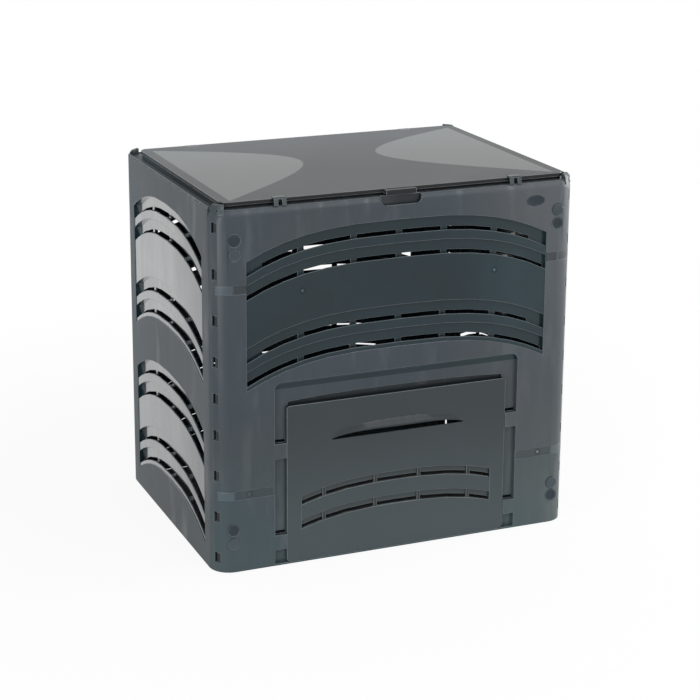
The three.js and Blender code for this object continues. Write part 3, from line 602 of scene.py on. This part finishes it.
def plainFinish(name, settings):
    finish = Finish(name)
    place = finish.place()
    x, y, z = finish.axes(place)
    cloud = finish.uneven(place, settings["flow"], detail=plainSettings["cloudDetail"])
    shade = tinted(finish, settings["shade"], 1 + cloud * plainSettings["cloudTint"])
    rough = settings["roughness"] + cloud * plainSettings["cloudRoughness"]
    # painted bounce light from the floor, fading out upwards
    low = 1 - finish.ease(z, 0, plainSettings["floorBounceHead"])
    shade = tinted(finish, shade, plainSettings["tone"] + settings["floorBounce"] * low)
    if settings is hatchSettings:
        depth = y - settings["face"]
        shade = addHollowLightAndShade(finish, settings["hollowLightAndShade"], x, z, depth, shade)
        # painted shade on the hood
        hood = 1 - finish.ease(depth, *settings["hoodDepth"])
        shade = tinted(finish, shade, 1 - hood * settings["hoodPaintedShade"])
        rough = rough + hood * settings["hoodRoughness"]
        shade = addVentShadeLines(finish, settings["vents"], x, z, shade)
    return finish.dress({
        "Base Color": shade,
        "Roughness": rough,
        "Normal": plasticGrain(finish, place, settings),
        "IOR": plasticIndex,
    })


# Painted highlight on the rounded edges: a finish paler than the faces

edgeHighlightSettings = {
    "patchiness": {"size": 30 * mm, "detail": 4.0, "roughness": 0.6},
    "patchinessTint": 0.9,
    "patchinessRoughness": 0.2,
    "grain": 1.2 * mm,
    "grainDepth": 0.04 * mm,
    "kinds": {                          # shade and roughness
        "wall": (colour(0.085, 0.105, 0.118), 0.28),
        "hatch": (colour(0.120, 0.140, 0.145), 0.24),
        "lid": (colour(0.110, 0.120, 0.125), 0.28),
        "clip": (colour(0.110, 0.130, 0.130), 0.24),
        "boss": (colour(0.055, 0.070, 0.080), 0.28),
    },
}


def edgeHighlightFinish(name, settings, shade, roughness):
    finish = Finish(name)
    place = finish.place()
    patchiness = finish.uneven(place, **settings["patchiness"])
    grain = finish.noise(place, settings["grain"])
    return finish.dress({
        "Base Color": tinted(finish, shade, 1 + patchiness * settings["patchinessTint"]),
        "Roughness": roughness + patchiness * settings["patchinessRoughness"],
        "Normal": finish.bump(grain, settings["grainDepth"]),
    })


materials["lid"] = lidFinish("lidPlastic", lidFinishSettings)
materials["hatch"] = plainFinish("hatchPlastic", hatchSettings)
clipMaterial = plainFinish("clipPlastic", clipSettings)
edgeHighlightMaterials = {
    kind: edgeHighlightFinish(kind + "Edge", edgeHighlightSettings, shade, roughness)
    for kind, (shade, roughness) in edgeHighlightSettings["kinds"].items()
}


# Each moulding is a copy of its CAD node, with merged facets and softly rounded edges that carry a
# painted highlight

mouldingSettings = {
    "weld": 0.1 * mm,
    "flat": 0.4,                        # degrees between facets that make one flat face
    "edgeAngle": 28,                    # sharper outer edges are rounded
    "smooth": 32,
    "bevel": {"wall": 1.3 * mm, "lid": 1.2 * mm, "hatch": 1.4 * mm, "clip": 0.5 * mm},
    "segments": 2,
    "rim": 1 * mm,                      # edges below this height stay sharp
    "hood": {                           # and so do those of the hatch's hood, within this box
        "half": 200 * mm,
        "foot": 330 * mm,
        "head": 400 * mm,
    },
}


def selectOnly(piece):
    bpy.ops.object.select_all(action="DESELECT")
    piece.select_set(True)
    bpy.context.view_layer.objects.active = piece


def applied(piece, kind, **settings):
    modifier = piece.modifiers.new(kind.title(), kind)
    for key, value in settings.items():
        setattr(modifier, key, value)
    selectOnly(piece)
    bpy.ops.object.modifier_apply(modifier=modifier.name)


def staysSharp(edge, settings, node):
    low, high = sorted(vertex.co.z for vertex in edge.verts)
    across = max(abs(vertex.co.x) for vertex in edge.verts)
    hood = settings["hood"]
    inHood = hood["foot"] < low and high < hood["head"] and across < hood["half"]
    return low < settings["rim"] or node == "hatch" and inHood


def weighEdges(piece, settings, node):
    limit = math.radians(settings["edgeAngle"])
    mesh = bmesh.new()
    mesh.from_mesh(piece.data)
    weights = mesh.edges.layers.float.new("bevel_weight_edge")
    for edge in mesh.edges:
        if edge.calc_face_angle_signed(0) > limit and not staysSharp(edge, settings, node):
            edge[weights] = 1
    mesh.to_mesh(piece.data)
    mesh.free()


def addMoulding(node, finishes, body, settings, bevel):
    piece = bpy.data.objects.new(node + "_moulding", frame["nodes"][node].data.copy())
    bpy.context.collection.objects.link(piece)
    selectOnly(piece)
    bpy.ops.mesh.customdata_custom_splitnormals_clear()
    bpy.ops.object.mode_set(mode="EDIT")
    bpy.ops.mesh.select_all(action="SELECT")
    bpy.ops.mesh.remove_doubles(threshold=settings["weld"])
    bpy.ops.mesh.dissolve_limited(angle_limit=math.radians(settings["flat"]))
    bpy.ops.mesh.quads_convert_to_tris(quad_method="BEAUTY", ngon_method="BEAUTY")
    bpy.ops.object.mode_set(mode="OBJECT")
    piece.data.materials.clear()
    for finish in finishes:
        piece.data.materials.append(finish)
    weighEdges(piece, settings, node)
    applied(
        piece,
        "BEVEL",
        width=bevel,
        segments=settings["segments"],
        limit_method="WEIGHT",
        use_clamp_overlap=False,
        material=1,                     # the edge finish with its painted highlight
    )
    bpy.ops.object.shade_smooth_by_angle(angle=math.radians(settings["smooth"]))
    applied(piece, "WEIGHTED_NORMAL", keep_sharp=True)
    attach(piece, body)
    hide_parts(node)


slots = {sub["node"]: sub["material_slot"] for sub in frame["record"]["subparts"]}
for body, nodes in frame["record"]["behaviour"]["bodies"].items():
    for node in nodes:
        kind = slots[node].split("_")[0]
        finishes = [materials.get(node, clipMaterial), edgeHighlightMaterials[kind]]
        bevel = mouldingSettings["bevel"][kind]
        addMoulding(node, finishes, body, mouldingSettings, bevel)
print("mouldings finished")


# Round and oval bosses that stand a little proud of the front wall, dished or domed

bossSettings = {
    "sides": 56,
    "bedded": 1.5 * mm,                 # how far they reach into the wall
    "facing": -0.9,                     # the front face's normal points at least so far forward
    "round": 0.7 * mm,
    "segments": 2,
    "places": {                         # in mm: x, z, half width, half height, height, rim, hollow
        "upperLeftMark": (-462, 903, 17, 17, 1.2, 1.8, 1.6, "darkBoss"),
        "upperLeftRing": (-462, 865, 16, 16, 1.0, 1.5, 0.9, "boss"),
        "lowerLeftMark": (-470, 118, 17, 17, 1.2, 1.8, 1.6, "darkBoss"),
        "lowerLeftRing": (-470, 80, 16, 16, 1.2, 1.8, 1.1, "boss"),
        "upperRightDome": (462, 903, 16, 16, 2.6, 5, -1.2, "boss"),
        "upperRightMark": (462, 865, 17, 17, 1.4, 2, 1.8, "darkBoss"),
        "lowerRightDome": (470, 118, 16, 16, 2.6, 5, -1.2, "boss"),
        "lowerRightMark": (470, 80, 17, 17, 1.4, 2, 1.8, "darkBoss"),
        "ovalBadge": (394, 933, 27, 15, 1.0, 1.6, 0.8, "darkBoss"),
    },
}


def addBoss(name, place, settings, finishes):
    *lengths, finish = place
    x, z, halfWidth, halfHeight, height, rim, hollow = (length * mm for length in lengths)
    depth = height + settings["bedded"]
    bpy.ops.object.select_all(action="DESELECT")
    bpy.ops.mesh.primitive_cylinder_add(
        vertices=settings["sides"],
        radius=1,
        depth=depth,
        end_fill_type="NGON",
        rotation=(math.radians(90), 0, 0),
        location=(x, frontFace - height + depth / 2, z),
    )
    piece = bpy.context.object
    piece.name = name
    piece.scale = (halfWidth, halfHeight, 1)
    bpy.ops.object.transform_apply(location=True, rotation=True, scale=True)
    for material in (finishes[finish], edgeHighlightMaterials["boss"]):
        piece.data.materials.append(material)
    for polygon in piece.data.polygons:
        polygon.select = polygon.normal.y < settings["facing"]
    bpy.ops.object.mode_set(mode="EDIT")
    bpy.ops.mesh.select_mode(type="FACE")
    bpy.ops.mesh.inset(thickness=rim)
    bpy.ops.transform.translate(value=(0, hollow, 0))
    bpy.ops.object.mode_set(mode="OBJECT")
    applied(
        piece,
        "BEVEL",
        width=settings["round"],
        segments=settings["segments"],
        limit_method="ANGLE",
        angle_limit=math.radians(mouldingSettings["edgeAngle"]),
        material=1,
    )
    bpy.ops.object.shade_smooth_by_angle(angle=math.radians(mouldingSettings["smooth"]))
    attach(piece, "bin")


bossFinishes = {
    "boss": plainFinish("bossPlastic", bossFinishSettings),
    "darkBoss": plainFinish("darkBossPlastic", darkBossSettings),
}
for name, place in bossSettings["places"].items():
    addBoss(name, place, bossSettings, bossFinishes)
print("bosses added")


# Floor, world and lamps

studioSettings = {
    "floorHalf": 30,
    "floorShade": colour(0.92, 0.92, 0.92),
    "floorRoughness": 0.9,
    # painted shade: a dark patch on the floor inside the bin's footprint
    "darkInsideShade": colour(0.05, 0.05, 0.05),
    "darkInsideHalf": (sideFace - 7 * mm, halfDepth - 7 * mm),
    "darkInsideCorner": 36 * mm,              # cut off the dark patch's corners, as the columns are round
    "whiteFrom": 0.9,                   # the floor turns fully white between these distances
    "whiteTo": 2.4,
    "nearWhite": 0.9,
    "worldGlow": 0.5,
    "lamps": {                          # place, aim, size and power
        "keyLamp": ((-2.9, -2.9, 3.0), (0, 0, 0.5), 2.0, 42),
        "topLamp": ((0.9, -3.2, 3.0), (0, -0.3, 0.6), 2.8, 46),
        "columnLamp": ((-3.2, -2.5, 0.45), (-0.5, -0.37, 0.5), 0.7, 28),
        "sideLamp": ((3.2, -0.5, 1.3), (0.5, -0.3, 0.8), 1.8, 60),
    },
}


# The background is white only for the rays that see it, so that it doesn't light the bin
def backgroundRay(nodes):
    rays = nodes.tree.nodes.new("ShaderNodeLightPath")
    kinds = ("Camera", "Glossy", "Transmission")
    camera, glossy, through = (Value(nodes, rays.outputs["Is " + kind + " Ray"]) for kind in kinds)
    return camera + glossy + through


def addFloor(settings):
    bpy.ops.mesh.primitive_plane_add(size=2 * settings["floorHalf"], location=(0, 0, 0))
    floor = bpy.context.object
    floor.name = "floor"
    finish = Finish("paleFloor")
    x, y, z = finish.axes(finish.place())
    across, along = abs(x), abs(y - middleY)
    halfX, halfY = settings["darkInsideHalf"]
    corner = halfX + halfY - settings["darkInsideCorner"]
    # painted shade on the floor inside the bin's footprint
    darkInside = 1 - finish.ease(across, halfX, halfX + mm)
    darkInside = darkInside * (1 - finish.ease(along, halfY, halfY + mm))
    darkInside = darkInside * (1 - finish.ease(across + along, corner, corner + mm))
    shade = finish.blend(settings["floorShade"], settings["darkInsideShade"], darkInside)
    finish.dress({"Base Color": shade, "Roughness": settings["floorRoughness"]})
    white = finish.ease(finish.distance(x, y), settings["whiteFrom"], settings["whiteTo"])
    white = settings["nearWhite"] + white * (1 - settings["nearWhite"])
    white = white * (1 - darkInside) * backgroundRay(finish)
    glow = finish.node("ShaderNodeEmission", None, {"Color": colour(1, 1, 1), "Strength": 1.0})
    surface = finish.node(
        "ShaderNodeMixShader",
        None,
        {0: white, 1: Value(finish, finish.shader.outputs[0]), 2: glow},
    )
    finish.feed(finish.tree.nodes["Material Output"].inputs["Surface"], surface)
    floor.data.materials.append(finish.material)


def addWorld(settings):
    world = bpy.data.worlds.new("paleRoom")
    bpy.context.scene.world = world
    world.use_nodes = True
    nodes = Nodes(world.node_tree)
    background = world.node_tree.nodes["Background"]
    background.inputs["Color"].default_value = colour(1, 1, 1)
    strength = settings["worldGlow"] + backgroundRay(nodes) * (1 - settings["worldGlow"])
    nodes.feed(background.inputs["Strength"], strength)


def addLamp(name, place, aim, size, power):
    bpy.ops.object.light_add(type="AREA", location=place)
    lamp = bpy.context.object
    lamp.name = name
    lamp.data.size = size
    lamp.data.energy = power
    lamp.visible_camera = False
    lamp.rotation_euler = (Vector(aim) - Vector(place)).to_track_quat("-Z", "Y").to_euler()


addFloor(studioSettings)
addWorld(studioSettings)
for name, (place, aim, size, power) in studioSettings["lamps"].items():
    addLamp(name, place, aim, size, power)
print("studio lit")

bpy.context.scene.view_settings.view_transform = "Standard"
